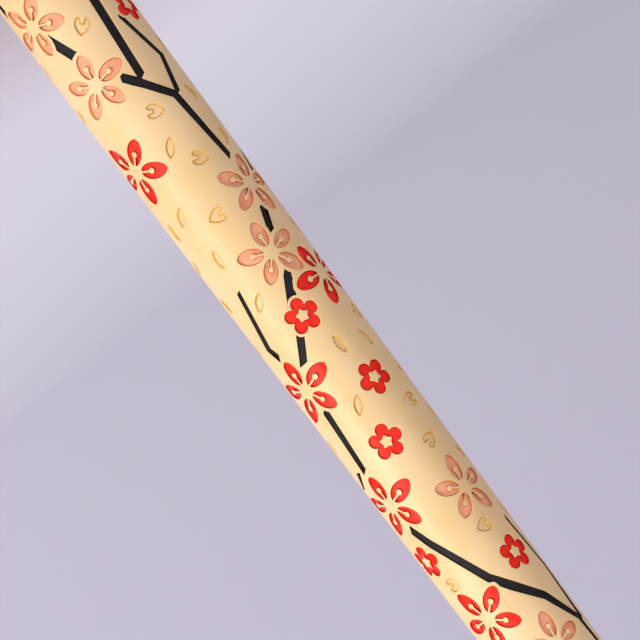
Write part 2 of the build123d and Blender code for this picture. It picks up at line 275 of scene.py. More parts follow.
def petal_half(share):
    """Half a petal's width in mm at a share s of its length: the swell times s^0.62 (1 - s)^0.66."""
    return PETAL_SWELL * share**0.62 * (1 - share) ** 0.66


def petal():
    """A cherry petal from its foot toward +x, with a narrow uncut stalk that ends in a round eye.

    Its edges lie the half width and a small foot to each side of the middle line and meet at the tip.
    """
    share = np.linspace(0.0, 1.0, 15)
    half = PETAL_FOOT + petal_half(share)
    half[-1] = 0.0
    x = PETAL_FROM + PETAL_LENGTH * share
    lower = np.stack([x, -half], -1)
    upper = np.stack([x[:-1], half[:-1]], -1)[::-1]
    turn = np.radians(np.linspace(163, -163, 12))
    eye = np.stack([EYE_FROM + EYE_R * np.cos(turn), EYE_R * np.sin(turn)], -1)
    return np.vstack([lower, upper[:-1], (PETAL_FROM, STALK_HALF), eye, (PETAL_FROM, -STALK_HALF)])


def petal_halo():
    """The petal's outline pushed out all round, as a plain kite-like loop from the flower's middle."""
    share = np.linspace(0.0, 1.0, 11)
    half = HALO_FOOT + HALO + petal_half(share)
    half[-1] = HALO / 2
    x = PETAL_FROM + (PETAL_LENGTH + 1.2 * HALO) * share
    lower = np.vstack([(0.0, -0.3), np.stack([x, -half], -1)])
    return np.vstack([lower, lower[::-1] * (1, -1)])


def cherry(paint, spin, size, uneven=0.0, seed=0.0):
    """Five petals as (paint, outline), each followed by the loop that keeps branches off it.

    Petal n is made longer by the share uneven times sin(2.4 n + seed).
    """
    loops = []
    for number in range(5):
        own_size = size * (1.0 + uneven * math.sin(2.4 * number + seed))
        for kind, outline in ((paint, petal()), (-KEEP_OFF, petal_halo())):
            loops.append((kind, turned_flat(outline, spin + 72 * number, own_size)))
    return loops


def plum(paint, spin, size=1.0):
    """A plum blossom's ring of five round lobes, the star left uncut inside it and its halo.

    At an angle t from the nearest lobe the ring reaches as far as the lobe's circle, which is
    from cos t + sqrt(r^2 - (from sin t)^2). The star grows by half a mm with t to the power 1.6.
    """
    a = np.arange(60) * 2 * math.pi / 60
    off = (a + math.pi / 5) % (2 * math.pi / 5) - math.pi / 5
    outer = LOBE_FROM * np.cos(off) + np.sqrt(LOBE_R**2 - (LOBE_FROM * np.sin(off)) ** 2)
    inner = STAR_R + 0.5 * (np.abs(off) / (math.pi / 5)) ** 1.6
    ring, star, halo = [np.stack([r * np.cos(a), r * np.sin(a)], -1)
                        for r in (outer, inner, outer + HALO)]
    return [(paint, turned_flat(ring, spin, size)),
            (KEEP_OFF, turned_flat(star, spin + 36, size)),
            (-KEEP_OFF, turned_flat(halo, spin, size))]


def heart():
    """A fallen petal: a round notch at its base and a point toward +x, 4.4 by 3.7 mm."""
    upper = [(-0.75, 0.0), (-0.85, 0.22), (-1.9, 0.42), (-2.15, 0.85), (-1.9, 1.4), (-1.2, 1.8),
             (-0.3, 1.85), (0.6, 1.5), (1.5, 0.85), (2.25, 0.0)]
    upper = np.array(upper)
    lower = upper[1:-1][::-1] * (1, -1)
    return np.vstack([upper, lower])[::-1]


def leaf():
    """A pointed lens 5.2 by 2.2 mm: half width 1.1 (1 - (x / 2.6)^2)^0.85."""
    x = np.linspace(-2.6, 2.6, 15)
    half = 1.1 * (1 - (x / 2.6) ** 2) ** 0.85
    lower = np.stack([x, -half], -1)
    return np.vstack([lower, lower[1:-1][::-1] * (1, -1)])


def banded(middle, width):
    """A tapering band with mitred bends: each edge is half the width to one side of the middle line."""
    run = np.diff(middle, axis=0)
    run /= np.linalg.norm(run, axis=1, keepdims=True)
    side = np.stack([-run[:, 1], run[:, 0]], -1)
    both = np.vstack([side[:1], side]) + np.vstack([side, side[-1:]])
    mitre = both / (both**2).sum(1, keepdims=True)
    reach = mitre * width[:, None]
    skew = np.zeros_like(middle)
    skew[0], skew[-1] = run[0] * 0.35 * width[0], run[-1] * 0.35 * width[-1]
    left, other = middle + reach - skew, middle - reach + skew
    return np.vstack([other, left[::-1]])


def branch(points):
    """The band of a branch on the flat plan, from its heights, angles and widths."""
    points = np.array(points, float)
    middle = np.stack([points[:, 0], np.radians(points[:, 1]) * FLAT_R], -1)
    return banded(middle, points[:, 2])


def lay_out_ornament():
    """The outlines on the flat plan as (kind, points), with no repeated flower or petal on another."""
    motifs = [("pink", spot) for spot in PINK_CHERRIES] + [("red", spot) for spot in RED_CHERRIES]
    motifs += [("plum", spot) for spot in PLUMS] + [("heart", spot) for spot in HEARTS]
    motifs += [("leaf", spot) for spot in LEAVES]
    shapes, taken = [], []
    around = 2 * math.pi * FLAT_R
    for shift, turn in REPEATS:
        for name, (height, degrees, spin) in motifs:
            at = np.array([height + shift, math.radians(degrees + turn) * FLAT_R])
            at[1] = (at[1] + around / 2) % around - around / 2
            margin = END_GAP + REACH[name]
            if not HANDLE_LOW + margin < at[0] < HANDLE_HIGH - margin:
                continue
            gaps = []
            for other, reach in taken:
                step = np.abs(at - other)
                step[1] = min(step[1], around - step[1])
                gaps.append(np.hypot(*step) - reach - REACH[name])
            if shift and gaps and min(gaps) < MOTIF_GAP:
                continue
            taken.append((at, REACH[name]))
            if name == "plum":
                loops = plum(RED, spin)
            elif name in CHERRY_SIZE:
                paint = PINK if name == "pink" else RED
                loops = cherry(paint, spin, CHERRY_SIZE[name], uneven=0.05, seed=height)
            else:
                loops = [(BARE, turned_flat(heart() if name == "heart" else leaf(), spin))]
            shapes += [(kind, outline + at) for kind, outline in loops]
        for points in BRANCHES:
            moved = [(height + shift, degrees + turn, width) for height, degrees, width in points]
            heights = [point[0] for point in moved]
            if min(heights) > HANDLE_LOW + END_GAP + 1 and max(heights) < HANDLE_HIGH - END_GAP - 1:
                shapes.append((BLACK, branch(moved)))
    return shapes


def cut_plan(shapes, low, high):
    """Triangles of the flat plan and the kind of surface each is, from outlines laid on a fine grid.

    The triangulation keeps every outline as edges. A triangle takes the kind of the outline that it
    is in: plain inside a star, then paint or bare cut, then black where no halo keeps a branch off.
    """
    half = math.pi * FLAT_R
    rows = np.linspace(low, high, GRID_ROWS)
    columns = np.linspace(-half, half, GRID_COLUMNS + 1)
    grid = np.stack(np.meshgrid(rows, columns, indexing="ij"), -1).reshape(-1, 2)
    edge_point = (np.abs(grid[:, 0] - low) < 1e-6) | (np.abs(grid[:, 0] - high) < 1e-6)
    edge_point |= np.abs(np.abs(grid[:, 1]) - half) < 1e-6
    copies = []
    for kind, points in shapes:
        for wrap in (-2 * half, 0, 2 * half):
            moved = points + (0, wrap)
            if moved[:, 1].max() > -half and moved[:, 1].min() < half:
                copies.append((kind, moved))
    cuts = [(kind, points) for kind, points in copies if kind != -KEEP_OFF]
    rings = [points for kind, points in copies if kind == -KEEP_OFF]
    outline = np.vstack([points for _, points in cuts])
    near = np.zeros(len(grid), bool)
    for start in range(0, len(grid), 512):
        block = grid[start : start + 512]
        distance = np.abs(block[:, None, 0] - outline[None, :, 0])
        distance = np.maximum(distance, np.abs(block[:, None, 1] - outline[None, :, 1]))
        near[start : start + 512] = distance.min(1) < GRID_CLEAR
    grid = grid[edge_point | ~near]
    points, faces, kinds = [grid], [], []
    count = len(grid)
    for kind, loop in cuts + [(-KEEP_OFF, loop) for loop in rings]:
        points.append(loop)
        faces.append(list(range(count, count + len(loop))))
        kinds.append(kind)
        count += len(loop)
    corners = [Vector((float(a), float(b))) for a, b in np.vstack(points)]
    result = delaunay_2d_cdt(corners, [], faces, 0, 1e-5)
    flat = np.array([tuple(v) for v in result[0]])
    triangles = np.array(result[2])
    centre = flat[triangles].mean(1)
    inside = (np.abs(centre[:, 1]) < half) & (centre[:, 0] > low) & (centre[:, 0] < high)
    kind_of = np.zeros(len(triangles), int)
    for index, owners in enumerate(result[5]):
        owned = [kinds[o] for o in owners]
        flower = [k for k in owned if k in (RED, PINK, BARE)]
        if KEEP_OFF in owned:
            kind_of[index] = LACQUER
        elif flower:
            kind_of[index] = flower[0]
        elif BLACK in owned and -KEEP_OFF not in owned:
            kind_of[index] = BLACK
    return flat, triangles[inside], kind_of[inside]


def weld_seam(flat, triangles):
    """Replaces each point on the plan's far long edge by the point at the same height on the near one."""
    half = math.pi * FLAT_R
    near = np.where(np.abs(flat[:, 1] + half) < SEAM_SLACK)[0]
    far = np.where(np.abs(flat[:, 1] - half) < SEAM_SLACK)[0]
    near, far = near[np.argsort(flat[near, 0])], far[np.argsort(flat[far, 0])]
    twin = np.arange(len(flat))
    closest = np.abs(flat[far, 0][:, None] - flat[near, 0][None, :]).argmin(1)
    twin[far] = near[closest]
    return twin[triangles]


def rolled(flat, depth):
    """A plan point at a depth under the surface: its height is kept and its distance becomes an angle."""
    radius = HANDLE_BUTT_R - HANDLE_TAPER * (flat[:, 0] - HANDLE_LOW) - depth
    angle = flat[:, 1] / FLAT_R
    return np.stack([-radius * np.sin(angle), -radius * np.cos(angle), flat[:, 0]], -1)


def cut_rims(flat, triangles, welded, kind):
    """Edges between a sunk triangle and one of another kind: their ends, paint and inward side."""
    edges = welded[:, [0, 1, 1, 2, 2, 0]].reshape(-1, 2)
    owner = np.repeat(np.arange(len(welded)), 3)
    code, back = edges @ (len(flat), 1), edges @ (1, len(flat))
    order = np.argsort(code)
    twin = order[np.searchsorted(code[order], back).clip(0, len(order) - 1)]
    other_kind = np.where(code[twin] == back, kind[owner[twin]], LACQUER)
    rim = (kind[owner] != LACQUER) & (other_kind != kind[owner])
    plan_edges = triangles[:, [0, 1, 1, 2, 2, 0]].reshape(-1, 2)[rim]
    run = flat[plan_edges[:, 1]] - flat[plan_edges[:, 0]]
    run /= np.linalg.norm(run, axis=1, keepdims=True).clip(1e-9)
    return edges[rim], kind[owner[rim]], np.stack([-run[:, 1], run[:, 0]], -1)


def rim_lean(size, edges, inward):
    """How far each plan point moves sideways so that the rims beside it move in by 1 mm.

    The inward sides of the rims at a point add up to v, and it moves by 2 v / |v|^2, at most 1.5.
    """
    lean = np.zeros((size, 2))
    np.add.at(lean, edges[:, 0], inward)
    np.add.at(lean, edges[:, 1], inward)
    squared = (lean**2).sum(1, keepdims=True)
    lean = np.where(squared > 0.3, 2 * lean / squared.clip(0.3), lean)
    length = np.linalg.norm(lean, axis=1, keepdims=True)
    return lean * np.minimum(1, 1.5 / length.clip(1e-9))


def sleeve_ends(flat, low, high, count):
    """Points and faces of the sleeve's ends and bore, as six rings of the same angles joined in turn.

    The first and last ring are the skin's own edge points, and the new points count on from count.
    """
    step = np.linspace(-math.pi, math.pi, GRID_COLUMNS + 1)[:-1]
    edge_rings = []
    for height in (low, high):
        wanted = np.stack([np.full(GRID_COLUMNS, height), step * FLAT_R], -1)
        edge_rings.append(np.abs(wanted[:, None, :] - flat[None, :, :]).max(2).argmin(1))
    butt_r = HANDLE_BUTT_R - HANDLE_EDGE
    top_r = butt_r - HANDLE_TAPER * (HANDLE_HIGH - HANDLE_LOW)
    points = []
    for radius, height in ((butt_r, HANDLE_LOW), (BORE_R, HANDLE_LOW), (BORE_R, HANDLE_HIGH),
                           (top_r, HANDLE_HIGH)):
        flat_height = np.full(GRID_COLUMNS, height)
        points.append(np.stack([-radius * np.sin(step), -radius * np.cos(step), flat_height], -1))
    rings = [count + k * GRID_COLUMNS + np.arange(GRID_COLUMNS) for k in range(4)]
    rings = [edge_rings[0]] + rings + [edge_rings[1]]
    faces = []
    for first, second in zip(rings[:-1], rings[1:]):
        faces += np.stack([second, np.roll(second, -1), np.roll(first, -1), first], -1).tolist()
    return points, faces


def engraved_sleeve():
    """Surface with sunk shapes: each shape's floor is its own triangles moved in, joined by walls.

    A wall goes down from the rim over a worn lip. Each kind of cut has its own set of floor points,
    so that cuts of two kinds can meet. Returns points, faces, and each face's material and part.
    """
    low, high = HANDLE_LOW + HANDLE_EDGE, HANDLE_HIGH - HANDLE_EDGE
    flat, triangles, kind = cut_plan(lay_out_ornament(), low, high)
    welded = weld_seam(flat, triangles)
    rims, rim_paint, inward = cut_rims(flat, triangles, welded, kind)
    verts, blocks = [rolled(flat, 0.0)], [(welded[kind == LACQUER], LACQUER, SKIN)]
    for paint in (RED, PINK, BLACK, BARE):
        mine = rim_paint == paint
        lean = rim_lean(len(flat), rims[mine], inward[mine])
        depth, slope = (BARE_DEPTH, BARE_SLOPE) if paint == BARE else (CUT_DEPTH, CUT_SLOPE)
        lip_at, floor_at = len(verts) * len(flat), (len(verts) + 1) * len(flat)
        verts += [rolled(flat + lean * CUT_LIP, CUT_LIP), rolled(flat + lean * slope, depth)]
        blocks.append((welded[kind == paint] + floor_at, paint, FLOOR))
        a, b = rims[mine].T
        # The lip keeps the cream lacquer. The wall below it takes its paint's darker wall material, which
        # is painted shade.
        for upper, lower, tint in ((0, lip_at, LACQUER), (lip_at, floor_at, paint + WALLS)):
            blocks.append((np.stack([a + upper, b + upper, b + lower], -1), tint, WALL))
            blocks.append((np.stack([a + upper, b + lower, a + lower], -1), tint, WALL))
    end_points, end_faces = sleeve_ends(flat, low, high, len(verts) * len(flat))
    blocks.append((np.array(end_faces), LACQUER, END))
    verts = np.vstack(verts + end_points)
    paints = np.concatenate([np.full(len(block), paint) for block, paint, _ in blocks])
    parts = np.concatenate([np.full(len(block), part) for block, _, part in blocks])
    used = np.unique(np.concatenate([block.ravel() for block, _, _ in blocks]))
    new_place = np.full(len(verts), -1)
    new_place[used] = np.arange(len(used))
    faces = [face for block, _, _ in blocks for face in new_place[block].tolist()]
    return verts[used], faces, paints, parts


def lacquer_material(name, base, dark, gloss, speck_hex):
    """Lacquer brushed on and rubbed down: a warm satin cream that light goes a little way into.

    Clouding is 17 mm across and varies the gloss too. A 0.3 mm speck sits in a 4 mm cell where a 7 mm
    noise is high. The skin's ripple is 0.7 mm, drawn coarser than the real one so that it shows.
    """
    finish = {"IOR": 1.5, "Subsurface Weight": 0.15, "Subsurface Radius": (1.0, 0.5, 0.25),
              "Subsurface Scale": 0.0012}
    material, tree, shader, spot = new_material(name, finish)
    cloud = add_node(tree, "ShaderNodeTexNoise", {"Scale": 60.0, "Detail": 4.0}, {"Vector": spot})
    tone = add_node(tree, "ShaderNodeValToRGB", {"stops": [(0.35, dark), (0.62, base)]},
                    {"Fac": cloud.outputs["Fac"]})
    dust = add_node(tree, "ShaderNodeTexVoronoi", {"Scale": 260.0, "Randomness": 1.0}, {"Vector": spot})
    rare = add_node(tree, "ShaderNodeTexNoise", {"Scale": 150.0, "Detail": 1.0}, {"Vector": spot})
    fine = add_node(tree, "ShaderNodeMath", {"operation": "LESS_THAN", 1: 0.045},
                    {0: dust.outputs["Distance"]})
    some = add_node(tree, "ShaderNodeMath", {"operation": "GREATER_THAN", 1: 0.69},
                    {0: rare.outputs["Fac"]})
    both = add_node(tree, "ShaderNodeMath", {"operation": "MULTIPLY"},
                    {0: fine.outputs[0], 1: some.outputs[0]})
    mixed = add_node(tree, "ShaderNodeMix", {"data_type": "RGBA", 7: linear(speck_hex)},
                     {0: both.outputs[0], 6: tone.outputs["Color"]})
    tree.links.new(mixed.outputs[2], shader.inputs["Base Color"])
    ripple = add_node(tree, "ShaderNodeTexNoise", {"Scale": 1400.0, "Detail": 3.0}, {"Vector": spot})
    bump = add_node(tree, "ShaderNodeBump", {"Strength": 0.12, "Distance": 0.00005},
                    {"Height": ripple.outputs["Fac"]})
    tree.links.new(bump.outputs["Normal"], shader.inputs["Normal"])
    rub = add_node(tree, "ShaderNodeMapRange", {"To Min": gloss - 0.05, "To Max": gloss + 0.07},
                   {"Value": cloud.outputs["Fac"]})
    tree.links.new(rub.outputs[0], shader.inputs["Roughness"])
    return material


def paint_material(name, base, dark, gloss, ridges, relief):
    """Thick paint laid in a cut by brush: strong soft colour, uneven by 2 mm patches, low ridges.

    Ridges are counted to the metre, about 1 mm apart, and are drawn out threefold along the handle.
    """
    material, tree, shader, spot = new_material(name, {"Roughness": gloss, "Specular IOR Level": 0.3})
    patch = add_node(tree, "ShaderNodeTexNoise", {"Scale": 450.0, "Detail": 5.0}, {"Vector": spot})
    tone = add_node(tree, "ShaderNodeValToRGB", {"stops": [(0.3, dark), (0.6, base)]},
                    {"Fac": patch.outputs["Fac"]})
    tree.links.new(tone.outputs["Color"], shader.inputs["Base Color"])
    pull = add_node(tree, "ShaderNodeMapping", {"Scale": (1.0, 1.0, 0.3)}, {"Vector": spot})
    ridge = add_node(tree, "ShaderNodeTexNoise", {"Scale": ridges, "Detail": 3.0},
                     {"Vector": pull.outputs["Vector"]})
    bump = add_node(tree, "ShaderNodeBump", {"Strength": relief, "Distance": 0.0003},
                    {"Height": ridge.outputs["Fac"]})
    tree.links.new(bump.outputs["Normal"], shader.inputs["Normal"])
    return material


cream_lacquer = lacquer_material("cream_satin_lacquer", "#F4DCA8", "#EFD398", 0.42, "#8C7A62")
bare_cut = lacquer_material("cream_lacquer_in_cut", "#F4DCA8", "#EFD094", 0.46, "#A98C4A")
red_paint = paint_material("vermilion_paint", "#FF2E0E", "#F01C08", 0.45, 900.0, 0.6)
pink_paint = paint_material("salmon_paint", "#FBBC94", "#F0A276", 0.5, 900.0, 0.6)
black_paint = paint_material("black_paint", "#1F1D22", "#121014", 0.6, 2600.0, 0.8)
# The wall materials are darker copies of the floor paints. The bare cut's wall is a deep ochre instead of
# cream lacquer. Both are painted shade on the walls of the cuts.
red_wall_painted_shade = paint_material("vermilion_paint_darkened_for_wall_shade", "#CC1A0A", "#AC1208", 0.5, 1500.0, 0.3)
pink_wall_painted_shade = paint_material("salmon_paint_darkened_for_wall_shade", "#D98658", "#BE6C42", 0.5, 1500.0, 0.3)
black_wall_painted_shade = paint_material("black_paint_darkened_for_wall_shade", "#141216", "#0C0B0E", 0.5, 2600.0, 0.3)
bare_wall_painted_shade = paint_material("bare_cut_wall_ochre_painted_shade", "#E6B95E", "#CC9A3C", 0.5, 1500.0, 0.3)

points, faces, paints, parts = engraved_sleeve()
sleeve = make_mesh("handle_engraved", points, faces,
                   [cream_lacquer, red_paint, pink_paint, black_paint, bare_cut,
                    red_wall_painted_shade, pink_wall_painted_shade, black_wall_painted_shade, bare_wall_painted_shade], paints)
# The skin and the floors shade as the turned surface; walls and ends keep their own flat faces.
part_of_loop = np.repeat(parts, [len(face) for face in faces])
radial = points[np.concatenate(faces)] * (1, 1, 0)
radial /= np.linalg.norm(radial, axis=1, keepdims=True)
radial[:, 2] = HANDLE_TAPER
radial[(part_of_loop == WALL) | (part_of_loop == END)] = 0
sleeve.data.normals_split_custom_set(radial.tolist())
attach(sleeve, "frame")
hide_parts("handle")


# ---------------------------------------------------------------- butt ferrule and handle collar
# Polished buffalo horn, turned on a lathe: a cap that closes the handle's foot and a ring that
# closes its upper end. Nearly black, with brown streaks that show the horn's own layers.


def horn_material():
    """Polished horn: brown streaks in a black ground under a wet-looking polish.

    A streak is 4 mm wide and 33 mm long. Lathe rings are 0.35 mm apart and hardly show.
    """
    finish = {"Roughness": 0.2, "Subsurface Weight": 0.1, "Subsurface Scale": 0.001}
    material, tree, shader, spot = new_material("polished_horn", finish)
    drawn = add_node(tree, "ShaderNodeMapping", {"Scale": (260.0, 260.0, 30.0)}, {"Vector": spot})
    streak = add_node(tree, "ShaderNodeTexNoise", {"Scale": 1.0, "Detail": 6.0, "Distortion": 1.2},
                      {"Vector": drawn.outputs["Vector"]})
    stops = [(0.38, "#15100D"), (0.56, "#2B1B12"), (0.7, "#6A4426")]
    tone = add_node(tree, "ShaderNodeValToRGB", {"stops": stops}, {"Fac": streak.outputs["Fac"]})
    tree.links.new(tone.outputs["Color"], shader.inputs["Base Color"])
    lathe = {"bands_direction": "Z", "Scale": 900.0, "Distortion": 0.6}
    turning = add_node(tree, "ShaderNodeTexWave", lathe, {"Vector": spot})
    bump = add_node(tree, "ShaderNodeBump", {"Strength": 0.05, "Distance": 0.00003},
                    {"Height": turning.outputs["Fac"]})
    tree.links.new(bump.outputs["Normal"], shader.inputs["Normal"])
    return material


def finish_node(node, material):
    """Gives one design node this one material on all its faces."""
    piece = frame["nodes"][node]
    piece.data.materials.clear()
    piece.data.materials.append(material)
    piece.data.polygons.foreach_set("material_index", [0] * len(piece.data.polygons))


horn = horn_material()
finish_node("butt_ferrule", horn)
finish_node("handle_collar", horn)


# ---------------------------------------------------------------- shaft
# One length of oiled bamboo culm with its skin kept on: straw brown, with fine lengthwise fibres
# and a raised ring at each joint of the culm. The latch's slot is cut into it.

CULM_JOINT = 0.168           # metres from one joint of the culm to the next
CULM_FIRST = 0.105


def bamboo_skin_material(name, dark, middle, light):
    """Oiled bamboo skin: a straw sheen with lengthwise fibres, and a pale and a dark ring at each joint.

    Noise drawn out along Z gives fibres 0.7 mm wide and 70 mm long and clouds 8 mm by 110 mm. A ring
    is where the height's share of the way from one joint to the next is a half.
    """
    material, tree, shader, spot = new_material(name, {"Roughness": 0.34})
    drawn = add_node(tree, "ShaderNodeMapping", {"Scale": (1500.0, 1500.0, 14.0)}, {"Vector": spot})
    fibre = add_node(tree, "ShaderNodeTexNoise", {"Scale": 1.0, "Detail": 5.0},
                     {"Vector": drawn.outputs["Vector"]})
    wide = add_node(tree, "ShaderNodeMapping", {"Scale": (120.0, 120.0, 9.0)}, {"Vector": spot})
    cloud = add_node(tree, "ShaderNodeTexNoise", {"Scale": 1.0, "Detail": 4.0},
                     {"Vector": wide.outputs["Vector"]})
    both = add_node(tree, "ShaderNodeMath", {"operation": "MULTIPLY_ADD", 1: 0.45},
                    {0: fibre.outputs["Fac"], 2: cloud.outputs["Fac"]})
    tone = add_node(tree, "ShaderNodeValToRGB", {"stops": [(0.55, dark), (0.72, middle), (0.86, light)]},
                    {"Fac": both.outputs[0]})
    parts = add_node(tree, "ShaderNodeSeparateXYZ", links={"Vector": spot})
    to_joint = {"operation": "MULTIPLY_ADD", 1: 1 / CULM_JOINT, 2: 0.5 - CULM_FIRST / CULM_JOINT}
    joint = add_node(tree, "ShaderNodeMath", to_joint, {0: parts.outputs["Z"]})
    place = add_node(tree, "ShaderNodeMath", {"operation": "FRACT"}, {0: joint.outputs[0]})
    ring_stops = [(0.474, "#FFFFFF"), (0.482, "#C9AE84"), (0.494, "#6E4A28"), (0.499, "#2B1A0E"),
                  (0.504, "#9A7446"), (0.516, "#FFFFFF")]
    ring = add_node(tree, "ShaderNodeValToRGB", {"stops": ring_stops}, {"Fac": place.outputs[0]})
    ringed = add_node(tree, "ShaderNodeMix", {"data_type": "RGBA", "blend_type": "MULTIPLY", 0: 1.0},
                      {6: tone.outputs["Color"], 7: ring.outputs["Color"]})
    tree.links.new(ringed.outputs[2], shader.inputs["Base Color"])
    bump = add_node(tree, "ShaderNodeBump", {"Strength": 0.25, "Distance": 0.0001},
                    {"Height": fibre.outputs["Fac"]})
    swell = add_node(tree, "ShaderNodeBump", {"Strength": 0.8, "Distance": 0.0004},
                     {"Height": ring.outputs["Color"], "Normal": bump.outputs["Normal"]})
    tree.links.new(swell.outputs["Normal"], shader.inputs["Normal"])
    return material


finish_node("shaft", bamboo_skin_material("oiled_bamboo_skin", "#8A5A2B", "#B98443", "#D2A463"))


# ---------------------------------------------------------------- head hub and its ring wire
# The fixed hub: dense storax wood, turned, sawn into twenty-four slots and lacquered dark brown.
# The ribs hang on a ring of drawn brass wire that runs through its teeth.


def hub_wood_material():
    """Lacquered storax wood: close dark grain, 1.1 mm wide and 17 mm long, under a satin coat."""
    finish = {"Roughness": 0.36, "Coat Weight": 0.35, "Coat Roughness": 0.15}
    material, tree, shader, spot = new_material("dark_lacquered_wood", finish)
    drawn = add_node(tree, "ShaderNodeMapping", {"Scale": (900.0, 900.0, 60.0)}, {"Vector": spot})
    grain = add_node(tree, "ShaderNodeTexNoise", {"Scale": 1.0, "Detail": 6.0, "Distortion": 0.4},
                     {"Vector": drawn.outputs["Vector"]})
    stops = [(0.35, "#2A130B"), (0.55, "#4A2415"), (0.72, "#6B3A20")]
    tone = add_node(tree, "ShaderNodeValToRGB", {"stops": stops}, {"Fac": grain.outputs["Fac"]})
    tree.links.new(tone.outputs["Color"], shader.inputs["Base Color"])
    bump = add_node(tree, "ShaderNodeBump", {"Strength": 0.2, "Distance": 0.00008},
                    {"Height": grain.outputs["Fac"]})
    tree.links.new(bump.outputs["Normal"], shader.inputs["Normal"])
    return material


def brass_material():
    """Drawn brass wire: a warm metal, dulled in patches 3 mm long where it was handled."""
    finish = {"Metallic": 1.0, "Roughness": 0.33}
    material, tree, shader, spot = new_material("drawn_brass_wire", finish)
    tarnish = add_node(tree, "ShaderNodeTexNoise", {"Scale": 300.0, "Detail": 5.0}, {"Vector": spot})
    tone = add_node(tree, "ShaderNodeValToRGB", {"stops": [(0.35, "#8C6A34"), (0.6, "#C79B55")]},
                    {"Fac": tarnish.outputs["Fac"]})
    tree.links.new(tone.outputs["Color"], shader.inputs["Base Color"])
    return material


hinge_places = {joint["name"]: joint.get("pos_m") for joint in frame["joints"]}
PIVOT_R, HUB_Z = [hinge_places["rib_hinge_01"][axis] / MM for axis in (0, 2)]
hub_wood = hub_wood_material()
finish_node("head_hub", hub_wood)
finish_node("head_ring_wire", brass_material())


# ---------------------------------------------------------------- runner and its thread ring
# The sliding hub is the same dark wood. The stretchers are strung on a ring of two cotton strands
# twisted together, which runs through its teeth.

RUNNER_RISE = 40.0           # from its foot to its pivots
RUNNER_PIVOT_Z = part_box("runner")[0][2] / MM + RUNNER_RISE
THREAD_R = 0.34              # one of the two strands
THREAD_TWIST = 60            # turns of the strands in one round


def thread_material(name, light, dark):
    """Twisted dyed cotton: matt with a soft sheen, mottled at 0.4 mm where plies take the dye."""
    material, tree, shader, spot = new_material(name, {"Roughness": 0.8, "Sheen Weight": 0.3})
    ply = add_node(tree, "ShaderNodeTexNoise", {"Scale": 2600.0, "Detail": 4.0}, {"Vector": spot})
    tone = add_node(tree, "ShaderNodeValToRGB", {"stops": [(0.35, dark), (0.62, light)]},
                    {"Fac": ply.outputs["Fac"]})
    tree.links.new(tone.outputs["Color"], shader.inputs["Base Color"])
    bump = add_node(tree, "ShaderNodeBump", {"Strength": 0.5, "Distance": 0.00008},
                    {"Height": ply.outputs["Fac"]})
    tree.links.new(bump.outputs["Normal"], shader.inputs["Normal"])
    return material


def strand(phase, steps=1440, sides=8):
    """One strand of the ring: a tube whose middle circles the pivot circle as it goes round once.

    The middle is at PIVOT_R + THREAD_R cos t outward and THREAD_R sin t up, t growing with the angle.
    """
    a = np.arange(steps) * 2 * math.pi / steps
    t = a * THREAD_TWIST + phase
    b = np.arange(sides) * 2 * math.pi / sides
    out = PIVOT_R + THREAD_R * np.cos(t)[:, None] + THREAD_R * np.cos(b)
    rise = RUNNER_PIVOT_Z + THREAD_R * np.sin(t)[:, None] + THREAD_R * np.sin(b)
    verts = np.stack([out * np.cos(a)[:, None], out * np.sin(a)[:, None], rise], -1).reshape(-1, 3)
    row, side = np.meshgrid(np.arange(steps), np.arange(sides), indexing="ij")
    ahead, next_side = (row + 1) % steps, (side + 1) % sides
    corners = [row * sides + side, ahead * sides + side, ahead * sides + next_side,
               row * sides + next_side]
    return verts, np.stack(corners, -1).reshape(-1, 4)


finish_node("runner", hub_wood)
first, first_faces = strand(0.0)
second, second_faces = strand(math.pi)
runner_thread = make_mesh("runner_thread_ring", np.vstack([first, second]),
                          np.vstack([first_faces, second_faces + len(first)]),
                          [thread_material("undyed_cotton_thread", "#E9DCC0", "#C9B58E")])
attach(runner_thread, "runner")


# ---------------------------------------------------------------- ribs, stretchers and latch
# Split from one bamboo culm, planed on the sides and smoothed, so that the culm's joints lie at the
# same height in all of them. The outer face keeps some of the skin's gloss; the sides show fibres.

LEAN = math.radians(63.0)    # an open rib from the shaft
RIB_STEP = math.radians(15.0)
PEG_R, PEG_Z = [hinge_places["stretcher_hinge_01"][axis] / MM for axis in (0, 2)]


